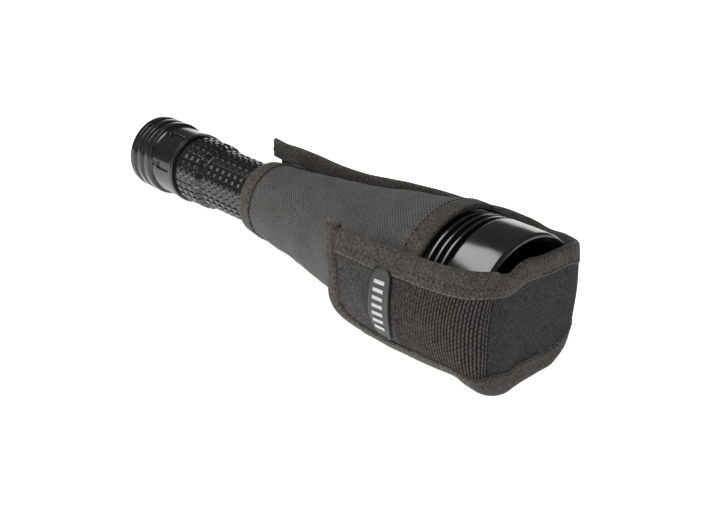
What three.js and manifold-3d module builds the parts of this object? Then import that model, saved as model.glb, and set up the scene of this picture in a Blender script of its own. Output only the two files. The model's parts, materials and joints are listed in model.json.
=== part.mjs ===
// Tactical flashlight in its belt holster: a three-cell light with a finned head, a screwed tail cap
// and a push switch, lying in a sewn sleeve whose long band folds round the head as a flap.
// Millimetres, +Z up. Every piece is first placed along the light's own axis: x runs from the tail
// to the head, y from the flap side to the belt side. The whole light then leans a few degrees, so
// that it lies on its tail ring and on the belly of the sleeve.
import * as THREE from 'three';
import { mergeVertices } from 'three/addons/utils/BufferGeometryUtils.js';
import Module from 'manifold-3d';

const wasm = await Module();
wasm.setup();

// Driving dimensions of the light.
const TAIL_RING_R = 22.5;
const TAIL_BODY_R = 20.8;
const FLUTE_COUNT = 6;
const FIRST_FLUTE_DEG = 10;
const TUBE_R = 17.4;
const HEAD_R = 38.5;
const CELL_R = 13.1;
const CELL_LENGTH = 65.0;
const CELL_PITCH = 65.4;
const FIRST_CELL_X = 30.0;
const CELL_COUNT = 3;
const EMITTER_COUNT = 7;
const EMITTER_RING_R = 22.2;
const GAP = 0.3;
const ROUND_STEPS = 24;
const SMALL_STEPS = 18;

// Driving dimensions of the holster.
const CLOTH = 1.6;
const BINDING = 2.4;
const SLEEVE_START_X = 105;
const SLEEVE_END_X = 256;
const SLEEVE_BINDING_WIDTH = 11;
const SLEEVE_COLUMNS = 20;
const BAND_TOP = 27.5;
const BAND_BOTTOM = -29;
const EDGE_TAPE = 11;

// The lean. The light rests on the rear edge of its tail ring and on a flat stretch of the sleeve's
// belly. A facet of the sleeve is centred on the lowest line: six and a half steps of the sleeve's
// section make a quarter turn.
const TAIL_EDGE_X = 0.5;
const BELLY_START_X = 220;
const BELLY_END_X = 236;
const BELLY_R = 41.7;
const SLEEVE_STEP = 90 / 6.5;
const FACET_DROP = Math.cos(THREE.MathUtils.degToRad(SLEEVE_STEP / 2));
const TAIL_DROP = TAIL_RING_R * Math.cos(Math.PI / ROUND_STEPS);
const LEAN_SLOPE = (BELLY_R * FACET_DROP - TAIL_DROP) / (BELLY_END_X - TAIL_EDGE_X);
const BELLY_START_R = BELLY_R - LEAN_SLOPE * (BELLY_END_X - BELLY_START_X) / FACET_DROP;

// Shape helpers.

function closedGeometry(geometry) {
  const bare = new THREE.BufferGeometry();
  bare.setAttribute('position', geometry.getAttribute('position').clone());
  if (geometry.index) bare.setIndex(geometry.index.clone());
  const merged = mergeVertices(bare, 1e-3);
  const kept = [];
  const index = merged.index.array;
  for (let i = 0; i < index.length; i += 3) {
    const [a, b, c] = [index[i], index[i + 1], index[i + 2]];
    if (a !== b && b !== c && c !== a) kept.push(a, b, c);
  }
  merged.setIndex(signedVolume(merged, kept) < 0 ? flipped(kept) : kept);
  return merged;
}

function signedVolume(geometry, index) {
  const position = geometry.getAttribute('position');
  const [a, b, c] = [new THREE.Vector3(), new THREE.Vector3(), new THREE.Vector3()];
  let total = 0;
  for (let i = 0; i < index.length; i += 3) {
    a.fromBufferAttribute(position, index[i]);
    b.fromBufferAttribute(position, index[i + 1]);
    c.fromBufferAttribute(position, index[i + 2]);
    total += a.dot(b.cross(c));
  }
  return total / 6;
}

function flipped(index) {
  const turned = [];
  for (let i = 0; i < index.length; i += 3) turned.push(index[i], index[i + 2], index[i + 1]);
  return turned;
}

function toSolid(geometry) {
  return new wasm.Manifold(new wasm.Mesh({
    numProp: 3,
    vertProperties: new Float32Array(geometry.getAttribute('position').array),
    triVerts: new Uint32Array(geometry.index.array),
  }));
}

function fromSolid(solid) {
  const mesh = solid.getMesh();
  const geometry = new THREE.BufferGeometry();
  geometry.setAttribute('position', new THREE.BufferAttribute(new Float32Array(mesh.vertProperties), 3));
  geometry.setIndex(Array.from(mesh.triVerts));
  return geometry;
}

function cut(geometry, tools) {
  return fromSolid(tools.reduce((body, tool) => body.subtract(toSolid(tool)), toSolid(geometry)));
}

// A turned piece round the light's axis. The outline lists [x, radius] pairs. It closes on itself
// unless both its ends lie on the axis.
function turned(outline, steps = ROUND_STEPS) {
  const points = outline.map(([x, radius]) => new THREE.Vector2(radius, x));
  const onAxis = outline[0][1] === 0 && outline.at(-1)[1] === 0;
  if (!onAxis) points.push(points[0].clone());
  const lathe = new THREE.LatheGeometry(points, steps, Math.PI / steps);
  return closedGeometry(lathe.rotateZ(-Math.PI / 2));
}

function turnedRing(x0, x1, inner, outer, steps = ROUND_STEPS) {
  return turned([[x0, inner], [x0, outer], [x1, outer], [x1, inner]], steps);
}

function turnedDisc(x0, x1, radius, steps = ROUND_STEPS) {
  return turned([[x0, 0], [x0, radius], [x1, radius], [x1, 0]], steps);
}

// An o-ring or a rounded seal: a ring with a six-sided section.
function roundSeal(x, radius, half, steps = SMALL_STEPS) {
  const outline = [];
  for (let i = 0; i < 6; i++) {
    const angle = (i + 0.5) * Math.PI / 3;
    outline.push([x + half * Math.cos(angle), radius + half * Math.sin(angle)]);
  }
  return turned(outline, steps);
}

// A compression spring: a round wire swept along a helix with closed ends.
function spring(x0, x1, radius, wire, turns) {
  class Helix extends THREE.Curve {
    getPoint(t, target = new THREE.Vector3()) {
      const angle = 2 * Math.PI * turns * t;
      const x = THREE.MathUtils.lerp(x0 + wire, x1 - wire, t);
      return target.set(x, radius * Math.cos(angle), radius * Math.sin(angle));
    }
  }
  const section = new THREE.Shape();
  section.absarc(0, 0, wire, 0, 2 * Math.PI);
  const options = { steps: Math.round(turns * 14), extrudePath: new Helix(), curveSegments: 3, bevelEnabled: false };
  return closedGeometry(new THREE.ExtrudeGeometry(section, options));
}

// A curved sheet with thickness: outer(u, v) and inner(u, v) give its two faces for u, v in 0..1.
function sheet(columns, rows, outer, inner) {
  const positions = [];
  const index = [];
  const stride = rows + 1;
  const layer = (columns + 1) * stride;
  for (const face of [outer, inner]) {
    for (let i = 0; i <= columns; i++) {
      for (let j = 0; j <= rows; j++) positions.push(...face(i / columns, j / rows));
    }
  }
  const quad = (a, b, c, d) => index.push(a, b, c, a, c, d);
  for (let i = 0; i < columns; i++) {
    for (let j = 0; j < rows; j++) {
      const a = i * stride + j;
      const b = a + stride;
      quad(a, b, b + 1, a + 1);
      quad(layer + a, layer + a + 1, layer + b + 1, layer + b);
    }
  }
  for (let i = 0; i < columns; i++) {
    const low = i * stride;
    const high = low + rows;
    quad(low + stride, low, layer + low, layer + low + stride);
    quad(high, high + stride, layer + high + stride, layer + high);
  }
  for (let j = 0; j < rows; j++) {
    const first = j;
    const last = columns * stride + j;
    quad(first, first + 1, layer + first + 1, layer + first);
    quad(last + 1, last, layer + last, layer + last + 1);
  }
  const geometry = new THREE.BufferGeometry();
  geometry.setAttribute('position', new THREE.Float32BufferAttribute(positions, 3));
  geometry.setIndex(index);
  return closedGeometry(geometry);
}

// Reads a value from a short table of [x, value] pairs, straight between them.
function profile(table, x) {
  const after = table.findIndex(([at]) => at >= x);
  if (after <= 0) return table[after === 0 ? 0 : table.length - 1][1];
  const [[x0, a], [x1, b]] = [table[after - 1], table[after]];
  return THREE.MathUtils.mapLinear(x, x0, x1, a, b);
}

// The light: tail cap and switch.

function tailCap() {
  const body = turned([
    [0, 16.2], [0, 22], [0.5, TAIL_RING_R], [4.2, TAIL_RING_R], [4.9, 21], [7, 21], [7.7, TAIL_RING_R],
    [11.4, TAIL_RING_R], [12.1, 21], [14.2, 21], [14.9, TAIL_RING_R], [19.2, TAIL_RING_R], [19.8, TAIL_BODY_R],
    [38.4, TAIL_BODY_R], [38.9, 21.4], [40, 21.4], [40.4, 20.7], [40.8, 21.4], [42, 21.4], [42, TUBE_R],
    [27.5, TUBE_R], [27.5, 16.4], [6, 16.4], [6, 12], [4, 12], [4, 16.2],
  ]);
  const flutes = [];
  for (let i = 0; i < FLUTE_COUNT; i++) {
    const flute = new THREE.BoxGeometry(15, 4.6, 3).toNonIndexed();
    flute.translate(29.5, 0, TAIL_BODY_R + 0.7);
    flute.rotateX(THREE.MathUtils.degToRad(90 - FIRST_FLUTE_DEG - i * 360 / FLUTE_COUNT));
    flutes.push(closedGeometry(flute));
  }
  return cut(body, flutes);
}

function switchBoot() {
  return turned([
    [2.2, 0], [2.6, 8.6], [4, 10], [7.6, 10.2], [7.6, 15.9], [6.4, 15.9], [6.4, 11.5], [3, 11.2], [1.5, 9.4], [0.8, 0],
  ], SMALL_STEPS);
}

function switchModule() {
  return turned([[15.5, 0], [15.5, 5.3], [12.3, 5.3], [12.3, 15.9], [24, 15.9], [24, 0]], SMALL_STEPS);
}

// The light: battery tube and cells.

const TUBE_FRONT_X = 228;

function batteryTube() {
  const bore = 13.8;
  const thread = 17;
  return turned([
    [28.2, bore], [28.2, thread], [37.6, thread], [37.6, 15.4], [40.4, 15.4], [40.4, thread], [42.4, thread],
    [42.4, 19.6], [43, 20], [61.6, 20], [65.6, TUBE_R], [187.6, TUBE_R], [187.6, 16.9], [191.6, 16.9],
    [191.6, 15.3], [194.4, 15.3], [194.4, 16.9], [TUBE_FRONT_X, 16.9], [TUBE_FRONT_X, bore],
  ]);
}

function batteryCell(x) {
  const end = x + CELL_LENGTH;
  const can = end - 1.2;
  return turned([
    [x, 0], [x, 11.8], [x + 0.6, CELL_R], [can - 0.6, CELL_R], [can, 11.8], [can, 4.6], [end, 4.6], [end, 0],
  ], SMALL_STEPS);
}

// The light: head, driver, emitters, reflector and lens.

const BEZEL_START_X = 271;
const BEZEL_FRONT_X = 295.3;

function headBody() {
  const outline = [
    [188, 17.3], [188, 19.6], [189, 20.2], [193, 20.2], [212, 31.6], [222, 34.6], [235, HEAD_R - 0.6],
    [238, HEAD_R], [239, 35.2], [241.4, 35.2], [242.2, HEAD_R], [246, HEAD_R], [246.8, 35.2], [249.2, 35.2],
    [250, HEAD_R], [253.6, HEAD_R], [254.4, 34.8], [257, 34.8], [257.8, HEAD_R],
  ];
  const finPitch = 4.2;
  for (let x = 259.6; x < 269; x += finPitch) {
    outline.push([x, HEAD_R], [x + 0.7, 36.8], [x + finPitch - 2.2, 36.8], [x + finPitch - 1.5, HEAD_R]);
  }
  outline.push(
    [BEZEL_START_X - GAP, HEAD_R], [BEZEL_START_X - GAP, 36.6], [280, 36.6], [280, 34.8], [257.4, 34.8],
    [257.4, 3.2], [240, 3.2], [240, 16], [228.6, 16], [228.6, 17.3],
  );
  return turned(outline);
}

function reflector() {
  const [back, front, depthRadius] = [262, 286, 11.4];
  const body = turned([[back, 0], [back, 31], [front - 3, 34.2], [front, 34.2], [front, 0]]);
  const cupOutline = [[back - 1, 0], [back - 1, 3.6]];
  for (let i = 0; i <= 4; i++) {
    const t = i / 4;
    cupOutline.push([THREE.MathUtils.lerp(back, front + 0.5, t), 3.6 + (depthRadius - 3.6) * Math.sqrt(t)]);
  }
  cupOutline.push([front + 1, depthRadius], [front + 1, 0]);
  const cups = [];
  for (const [y, z] of emitterPlaces()) {
    cups.push(turned(cupOutline, 16).translate(0, y, z));
  }
  return cut(body, cups);
}

function emitterPlaces() {
  const places = [[0, 0]];
  for (let i = 0; i < EMITTER_COUNT - 1; i++) {
    const angle = (i + 0.5) * Math.PI / 3;
    places.push([EMITTER_RING_R * Math.cos(angle), EMITTER_RING_R * Math.sin(angle)]);
  }
  return places;
}

function emitter(y, z) {
  const base = 259.6;
  return turned([[base, 0], [base, 2.6], [base + 0.8, 2.6], [base + 0.8, 1.8], [base + 1.9, 1.2], [base + 2.3, 0]], 8)
    .translate(0, y, z);
}

function bezelRing() {
  const body = turned([
    [BEZEL_START_X, 36.9], [BEZEL_START_X, 38.6], [272.2, 39], [293.4, 38.9], [BEZEL_FRONT_X, 37.8],
    [BEZEL_FRONT_X, 34], [293, 32.6], [290.7, 32.6], [290.7, 34.6], [280.4, 34.6], [280.4, 36.9],
  ]);
  const notches = [];
  for (let i = 0; i < 6; i++) {
    const notch = closedGeometry(new THREE.BoxGeometry(2.4, 14, 8).toNonIndexed());
    notch.translate(BEZEL_FRONT_X + 0.2, 0, 36);
    notch.rotateX(i * Math.PI / 3);
    notches.push(notch);
  }
  return cut(body, notches);
}

// The holster: a sleeve sewn to a long band. The sleeve's section is an arch that is open towards
// the band, round at the head end and straight-sided at the tail end.

const SLEEVE_RADIUS = [
  [105, 20.6], [118, 22.1], [150, 25.8], [181, 31.2], [205, 37.4],
  [BELLY_START_X, BELLY_START_R], [BELLY_END_X, BELLY_R], [256, 41.2],
];
const BELLY_SPAN = SLEEVE_STEP * SLEEVE_COLUMNS / 2;
const SLEEVE_SPAN = [[105, 134], [150, 138], [BELLY_START_X, BELLY_SPAN], [256, BELLY_SPAN]];
const SLEEVE_SQUARE = [[105, 1], [205, 0], [256, 0]];

function sleevePoint(x, side, offset) {
  const radius = profile(SLEEVE_RADIUS, x) + offset;
  const angle = THREE.MathUtils.degToRad(side * profile(SLEEVE_SPAN, x));
  const square = Math.abs(angle) > Math.PI / 2 ? profile(SLEEVE_SQUARE, x) : 0;
  const reach = radius * (1 - square + square / Math.max(Math.sin(Math.abs(angle)), 0.5));
  return [x, -reach * Math.cos(angle), reach * Math.sin(angle)];
}

// A length of the sleeve with one row of points at each of the given stations along x.
function sleeveShell(stations, outset, thickness = CLOTH, half = 1, columns = SLEEVE_COLUMNS) {
  const rows = stations.length - 1;
  const place = (u, v, offset) => sleevePoint(stations[Math.round(v * rows)], half * (2 * u - 1), offset);
  return sheet(columns, rows, (u, v) => place(u, v, outset), (u, v) => place(u, v, outset - thickness));
}

// The band: its middle line seen from above, in three stretches divided by the two folds, and how
// far its edges curl towards the light, from 0 (flat) to 1 (round the head).
const BACK_PATH = [
  [86, 25.6], [105, 24], [150, 29.4], [181, 34.8], [205, 40.4], [222, 43.2], [256, 43.6], [285, 43], [293.8, 41.6],
];
const END_PATH = [[299.4, 38], [301, 31], [301.6, 16], [301.6, -12], [301.2, -27], [300.4, -32.4]];
const ELASTIC_PATH = [[298.2, -37.6], [293.6, -41], [284, -42.6], [252, -43.6]];
const FRONT_PATH = [[251.6, -43.6], [232, -44.2], [214.6, -43.4]];
const FREE_END_PATH = [[213.4, -43.3], [208, -42.8], [203, -42.2]];
const FLAP_PATH = [...ELASTIC_PATH.slice(0, 3), [252, -43.6], [232, -44.2], [214.6, -43.4]];
const BACK_CURL = [[86, 0], [150, 0.1], [205, 0.7], [230, 1], [285, 1], [296, 0.5]];
const FLAP_CURL = [[203, 1], [285, 1], [299, 0.2]];

function ribbon(path, low, high, thickness, outset, curlAt, columns, rows) {
  const line = new THREE.CatmullRomCurve3(path.map(([x, y]) => new THREE.Vector3(x, y, 0)));
  const place = (u, v, offset) => {
    const point = line.getPoint(u);
    const tangent = line.getTangent(u);
    const outward = new THREE.Vector3(-tangent.y, tangent.x, 0);
    const z = THREE.MathUtils.lerp(low, high, v);
    const bend = Math.max(Math.abs(point.y), 36);
    const curl = curlAt(point) * (bend - Math.sqrt(bend * bend - z * z));
    return point.addScaledVector(outward, offset - curl).setZ(z).toArray();
  };
  const [out, back] = [outset + thickness / 2, outset - thickness / 2];
  return sheet(columns, rows, (u, v) => place(u, v, out), (u, v) => place(u, v, back));
}

const backCurl = (point) => profile(BACK_CURL, point.x);
const flapCurl = (point) => profile(FLAP_CURL, point.x);
const noCurl = () => 0;

// The raised oval badge: a curved sheet over the flap, trimmed to an oval.
function badge() {
  const [length, width, x] = [38, 15.5, 238];
  const path = [[x + 10, -43.7], [x, -44.1], [x - 10, -44.1]];
  const skin = ribbon(path, -length / 2 - 1, length / 2 + 1, 1.8, 2.5, flapCurl, 3, 10);
  const oval = new THREE.CylinderGeometry(width / 2, width / 2, 40, 24).scale(1, 1, length / width);
  const solid = toSolid(skin).intersect(toSolid(closedGeometry(oval.translate(x, -40, 0))));
  return fromSolid(solid);
}

// The belt loop: a strap sewn down at both ends that stands off the back of the band.
const LOOP_PATH = [[112, 26.7], [120, 27.6], [131, 37.6], [196, 50.6], [206, 43.4], [214, 44.8]];

function beltLoop() {
  const [low, high] = [-15, 10];
  const points = LOOP_PATH.map(([x, y]) => new THREE.Vector2(x, y));
  const place = (u, v, offset) => {
    const i = Math.round(u * (points.length - 1));
    const before = points[Math.max(i - 1, 0)];
    const after = points[Math.min(i + 1, points.length - 1)];
    const along = after.clone().sub(before).normalize();
    const z = THREE.MathUtils.lerp(low, high, v);
    return [points[i].x - along.y * offset, points[i].y + along.x * offset, z];
  };
  return sheet(points.length - 1, 2, (u, v) => place(u, v, 2), (u, v) => place(u, v, 0));
}

// Materials.

const finish = (color, roughness, metalness) => new THREE.MeshStandardMaterial({ color, roughness, metalness });
const anodised = finish(0x17171a, 0.28, 0.85);
const steel = finish(0x9a9a98, 0.35, 0.9);
const brass = finish(0xb89250, 0.35, 0.9);
const rubber = finish(0x141414, 0.7, 0);
const plastic = finish(0x202022, 0.5, 0);
const circuit = finish(0x1c3b24, 0.5, 0.1);
const wrap = finish(0x9c2f24, 0.45, 0);
const silver = finish(0xc8c8c8, 0.12, 1);
const clear = finish(0xe6ecef, 0.05, 0);
const phosphor = finish(0xe0c23c, 0.5, 0);
const twill = finish(0x494743, 0.9, 0);
const tape = finish(0x3c3936, 0.85, 0);
const weave = finish(0x2c2a28, 0.9, 0);
const badgeRubber = finish(0x2a2a2b, 0.6, 0);

// Assembly.

const light = new THREE.Group();

function add(name, geometry, material) {
  const mesh = new THREE.Mesh(geometry, material);
  mesh.name = name;
  light.add(mesh);
}

add('tail_cap', tailCap(), anodised);
add('switch_boot', switchBoot(), rubber);
add('switch_plunger', turnedDisc(2.9, 13.4, 4.8, SMALL_STEPS), plastic);
add('switch_retaining_ring', turnedRing(9.5, 12, 10.8, 16.1, SMALL_STEPS), brass);
add('switch_module', switchModule(), plastic);
add('tail_contact_board', turnedDisc(24.3, 25.9, 15.9, SMALL_STEPS), circuit);
add('tail_spring', spring(26.2, 29.7, 5, 0.5, 2.5), steel);
add('tail_cap_seal', roundSeal(39, 16.35, 0.75), rubber);
add('battery_tube', batteryTube(), anodised);
for (let i = 0; i < CELL_COUNT; i++) {
  add(`battery_cell_${i + 1}`, batteryCell(FIRST_CELL_X + i * CELL_PITCH), wrap);
}
add('head_seal', roundSeal(193, 16.25, 0.75), rubber);
add('head_body', headBody(), anodised);
add('driver_spring', spring(226.4, 232.7, 4, 0.5, 3.5), steel);
add('driver_board', turnedDisc(233, 234.6, 15.6, SMALL_STEPS), circuit);
add('driver_inductor', turnedRing(234.9, 238.4, 2.6, 6.4, SMALL_STEPS), plastic);
add('led_lead_positive', turnedDisc(238.8, 257.5, 0.7, 8).translate(0, 1.4, 0), wrap);
add('led_lead_negative', turnedDisc(238.8, 257.5, 0.7, 8).translate(0, -1.4, 0), plastic);
add('led_board', turnedDisc(257.8, 259.3, 33.4), circuit);
emitterPlaces().forEach(([y, z], i) => add(`emitter_${i + 1}`, emitter(y, z), phosphor));
add('reflector', reflector(), silver);
add('lens_seal', turnedRing(286.3, 287.4, 31.6, 34.3), rubber);
add('lens', turnedDisc(287.7, 290.4, 34.3), clear);
add('bezel_ring', bezelRing(), anodised);

const tailTapeEnd = SLEEVE_START_X + SLEEVE_BINDING_WIDTH;
const headTapeStart = SLEEVE_END_X - SLEEVE_BINDING_WIDTH;
const sleeveStations = [
  tailTapeEnd + GAP, 138, 160, 181, 205, BELLY_START_X, BELLY_END_X, headTapeStart - GAP,
];
add('sleeve', sleeveShell(sleeveStations, 0), twill);
add('sleeve_tail_binding', sleeveShell([SLEEVE_START_X, tailTapeEnd], 0.6, BINDING), tape);
add('sleeve_head_binding', sleeveShell([headTapeStart, SLEEVE_END_X], 0.4, BINDING - 0.4), tape);
add('loop_patch', sleeveShell([206, 213, BELLY_START_X], 1.1, 0.8, 0.13, 6), weave);

const backTape = 7;
const backHalf = 26;
const backPanelHalf = backHalf - backTape - GAP;
add('back_panel', ribbon(BACK_PATH, -backPanelHalf, backPanelHalf, CLOTH, 0, backCurl, 14, 4), weave);
add('back_upper_binding', ribbon(BACK_PATH, backHalf - backTape, backHalf, BINDING, 0, backCurl, 14, 1), tape);
add('back_lower_binding', ribbon(BACK_PATH, -backHalf, backTape - backHalf, BINDING, 0, backCurl, 14, 1), tape);
add('belt_loop', beltLoop(), weave);

const [innerBottom, innerTop] = [BAND_BOTTOM + EDGE_TAPE + GAP, BAND_TOP - EDGE_TAPE - GAP];
const bandPiece = (path, low, high, thickness, curl, columns, rows) =>
  ribbon(path, low, high, thickness, 0, curl, columns, rows);
add('flap_end_panel', bandPiece(END_PATH, innerBottom, innerTop, CLOTH, noCurl, 8, 2), weave);
add('flap_end_upper_binding', bandPiece(END_PATH, BAND_TOP - EDGE_TAPE, BAND_TOP, BINDING, noCurl, 8, 1), tape);
add('flap_end_lower_binding', bandPiece(END_PATH, BAND_BOTTOM, BAND_BOTTOM + EDGE_TAPE, BINDING, noCurl, 8, 1), tape);
add('elastic_insert', bandPiece(ELASTIC_PATH, innerBottom, innerTop, CLOTH, flapCurl, 6, 4), weave);
add('flap_front_panel', bandPiece(FRONT_PATH, innerBottom, innerTop, CLOTH, flapCurl, 4, 4), weave);
add('flap_upper_binding', bandPiece(FLAP_PATH, BAND_TOP - EDGE_TAPE, BAND_TOP, BINDING, flapCurl, 8, 2), tape);
add('flap_lower_binding', bandPiece(FLAP_PATH, BAND_BOTTOM, BAND_BOTTOM + EDGE_TAPE, BINDING, flapCurl, 8, 2), tape);
add('flap_free_end_binding', bandPiece(FREE_END_PATH, BAND_BOTTOM, BAND_TOP, BINDING, flapCurl, 2, 8), tape);
add('hook_patch', ribbon([[221, -43.9], [206, -42.6]], -9, 9, 0.7, -1.95, flapCurl, 2, 4), weave);
add('badge', badge(), badgeRubber);

// The light lies down: its tail ring and the belly of the sleeve touch the ground together, and the
// origin is the middle of the ground under it.
light.rotation.y = -Math.atan(LEAN_SLOPE);
const holsteredLight = new THREE.Group();
holsteredLight.add(light);
const extent = new THREE.Box3().setFromObject(holsteredLight, true);
const middle = extent.getCenter(new THREE.Vector3());
light.position.set(-middle.x, -middle.y, -extent.min.z);

export default holsteredLight;
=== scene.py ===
"""A tactical flashlight lying in its belt holster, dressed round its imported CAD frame.

Shapes are worked out in millimetres along the light's own axis: x from the tail ring to the head,
y from the flap side to the belt side, z up. TO_WORLD then leans them as the CAD frame leans.
"""

import json
import math

import bmesh
import bpy
import numpy as np
from mathutils import Matrix, Vector
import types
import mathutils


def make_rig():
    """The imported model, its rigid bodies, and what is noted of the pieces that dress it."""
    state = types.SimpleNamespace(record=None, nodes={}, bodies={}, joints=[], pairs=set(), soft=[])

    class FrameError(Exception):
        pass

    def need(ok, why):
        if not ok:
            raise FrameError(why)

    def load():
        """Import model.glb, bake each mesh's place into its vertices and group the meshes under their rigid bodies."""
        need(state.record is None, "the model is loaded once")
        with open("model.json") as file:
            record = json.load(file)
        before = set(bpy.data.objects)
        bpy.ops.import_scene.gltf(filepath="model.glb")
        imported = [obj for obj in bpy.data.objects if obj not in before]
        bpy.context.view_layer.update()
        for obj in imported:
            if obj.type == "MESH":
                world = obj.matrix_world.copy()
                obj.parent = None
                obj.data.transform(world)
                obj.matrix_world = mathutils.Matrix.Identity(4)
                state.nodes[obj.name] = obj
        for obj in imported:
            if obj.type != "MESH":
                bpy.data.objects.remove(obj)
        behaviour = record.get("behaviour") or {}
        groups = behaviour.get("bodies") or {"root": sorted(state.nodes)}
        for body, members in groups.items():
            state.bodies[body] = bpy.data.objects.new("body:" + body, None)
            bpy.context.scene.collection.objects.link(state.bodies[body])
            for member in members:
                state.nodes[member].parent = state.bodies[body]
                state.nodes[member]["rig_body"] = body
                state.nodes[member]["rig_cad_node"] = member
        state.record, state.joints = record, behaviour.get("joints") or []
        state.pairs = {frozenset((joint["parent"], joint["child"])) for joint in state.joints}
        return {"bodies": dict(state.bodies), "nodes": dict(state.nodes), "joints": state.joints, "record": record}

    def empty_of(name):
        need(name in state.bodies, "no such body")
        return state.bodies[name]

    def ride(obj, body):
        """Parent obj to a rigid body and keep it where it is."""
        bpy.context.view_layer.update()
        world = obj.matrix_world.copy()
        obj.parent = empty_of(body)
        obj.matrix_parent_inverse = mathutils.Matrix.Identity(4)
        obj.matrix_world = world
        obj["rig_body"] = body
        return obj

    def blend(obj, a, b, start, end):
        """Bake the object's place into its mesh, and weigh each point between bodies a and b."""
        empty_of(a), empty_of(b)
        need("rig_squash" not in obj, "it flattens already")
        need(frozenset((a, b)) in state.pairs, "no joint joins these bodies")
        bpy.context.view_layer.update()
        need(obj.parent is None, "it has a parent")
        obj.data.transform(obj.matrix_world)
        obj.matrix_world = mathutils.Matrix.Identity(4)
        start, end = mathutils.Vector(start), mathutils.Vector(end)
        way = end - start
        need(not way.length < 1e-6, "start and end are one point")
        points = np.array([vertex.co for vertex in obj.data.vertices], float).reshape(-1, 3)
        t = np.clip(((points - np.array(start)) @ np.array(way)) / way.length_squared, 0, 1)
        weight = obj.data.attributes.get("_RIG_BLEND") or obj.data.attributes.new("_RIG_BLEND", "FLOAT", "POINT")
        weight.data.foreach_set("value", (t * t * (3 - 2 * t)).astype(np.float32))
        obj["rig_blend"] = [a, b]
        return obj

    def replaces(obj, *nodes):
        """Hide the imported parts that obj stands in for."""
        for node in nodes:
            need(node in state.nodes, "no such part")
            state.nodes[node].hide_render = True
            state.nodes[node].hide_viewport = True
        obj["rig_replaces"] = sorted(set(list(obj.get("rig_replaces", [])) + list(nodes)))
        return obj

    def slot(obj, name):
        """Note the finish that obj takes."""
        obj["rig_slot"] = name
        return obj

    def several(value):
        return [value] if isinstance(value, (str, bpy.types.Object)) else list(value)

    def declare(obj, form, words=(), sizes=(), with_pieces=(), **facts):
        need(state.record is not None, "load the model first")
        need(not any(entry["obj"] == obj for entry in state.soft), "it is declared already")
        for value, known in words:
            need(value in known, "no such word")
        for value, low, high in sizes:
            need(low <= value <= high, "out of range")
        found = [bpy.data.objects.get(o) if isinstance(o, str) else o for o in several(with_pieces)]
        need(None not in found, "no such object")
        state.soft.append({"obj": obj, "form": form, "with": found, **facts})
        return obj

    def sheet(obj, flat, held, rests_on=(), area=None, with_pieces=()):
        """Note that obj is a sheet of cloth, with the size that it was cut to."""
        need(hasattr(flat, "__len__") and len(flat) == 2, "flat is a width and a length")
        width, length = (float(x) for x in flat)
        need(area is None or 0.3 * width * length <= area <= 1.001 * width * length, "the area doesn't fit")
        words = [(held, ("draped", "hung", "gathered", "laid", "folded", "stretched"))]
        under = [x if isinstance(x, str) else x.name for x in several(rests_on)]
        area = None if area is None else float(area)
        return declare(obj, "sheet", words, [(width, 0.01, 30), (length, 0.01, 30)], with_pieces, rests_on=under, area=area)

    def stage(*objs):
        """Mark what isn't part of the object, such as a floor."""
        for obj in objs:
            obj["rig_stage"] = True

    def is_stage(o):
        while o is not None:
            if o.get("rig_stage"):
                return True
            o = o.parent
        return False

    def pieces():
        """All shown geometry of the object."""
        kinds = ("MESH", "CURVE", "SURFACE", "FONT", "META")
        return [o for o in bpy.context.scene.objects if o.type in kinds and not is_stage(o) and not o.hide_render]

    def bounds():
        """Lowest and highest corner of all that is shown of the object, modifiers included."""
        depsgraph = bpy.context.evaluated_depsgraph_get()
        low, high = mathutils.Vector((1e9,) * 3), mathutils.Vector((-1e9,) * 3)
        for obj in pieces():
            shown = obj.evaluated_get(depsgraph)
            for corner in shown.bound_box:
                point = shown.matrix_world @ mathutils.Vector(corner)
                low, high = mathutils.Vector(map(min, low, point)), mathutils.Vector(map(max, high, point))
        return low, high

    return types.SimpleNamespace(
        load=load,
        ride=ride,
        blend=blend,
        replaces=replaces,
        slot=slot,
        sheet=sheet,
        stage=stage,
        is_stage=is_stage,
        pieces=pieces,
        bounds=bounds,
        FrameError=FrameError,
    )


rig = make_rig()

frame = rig.load()
cad_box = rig.bounds()

MM = 0.001
JOINTS = {joint["name"]: joint for joint in frame["joints"]}
TURN_POINT_X = 20.0
AXIS = Vector(JOINTS["light_draw"]["axis"]).normalized()
SIDE = Vector((0.0, 1.0, 0.0))
RISE = AXIS.cross(SIDE)
ORIGIN = Vector(JOINTS["tail_cap_turn"]["pos_m"]) - AXIS * TURN_POINT_X * MM
TURNING = Matrix((AXIS, SIDE, RISE)).transposed()
TO_WORLD = Matrix.Translation(ORIGIN) @ TURNING.to_4x4() @ Matrix.Scale(MM, 4)

# The light, as in the CAD.
TAIL_RING_R = 22.5
TAIL_BODY_R = 20.8
TUBE_R = 17.4
HEAD_R = 38.5
BEZEL_START_X = 271.0
BEZEL_FRONT_X = 295.3
EMITTER_RING_R = 22.2
FLUTES = 6
FLUTE_START_DEG = 10.0

# The holster, as in the CAD.
SLEEVE_START_X = 105.0
SLEEVE_END_X = 256.0
RIB_PITCH = 1.75
MOUTH_TAPE = 11.0
EDGE_TAPE = 11.0
LOWER_TAPE = 8.5


# Placing and mesh helpers

def to_world(points):
    """Points in millimetres along the light, as points of the row frame in metres."""
    matrix = np.array(TO_WORLD)
    return np.asarray(points).reshape(-1, 3) @ matrix[:3, :3].T + matrix[:3, 3]


def world_point(x, y, z):
    return Vector(to_world([(x, y, z)])[0])


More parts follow.
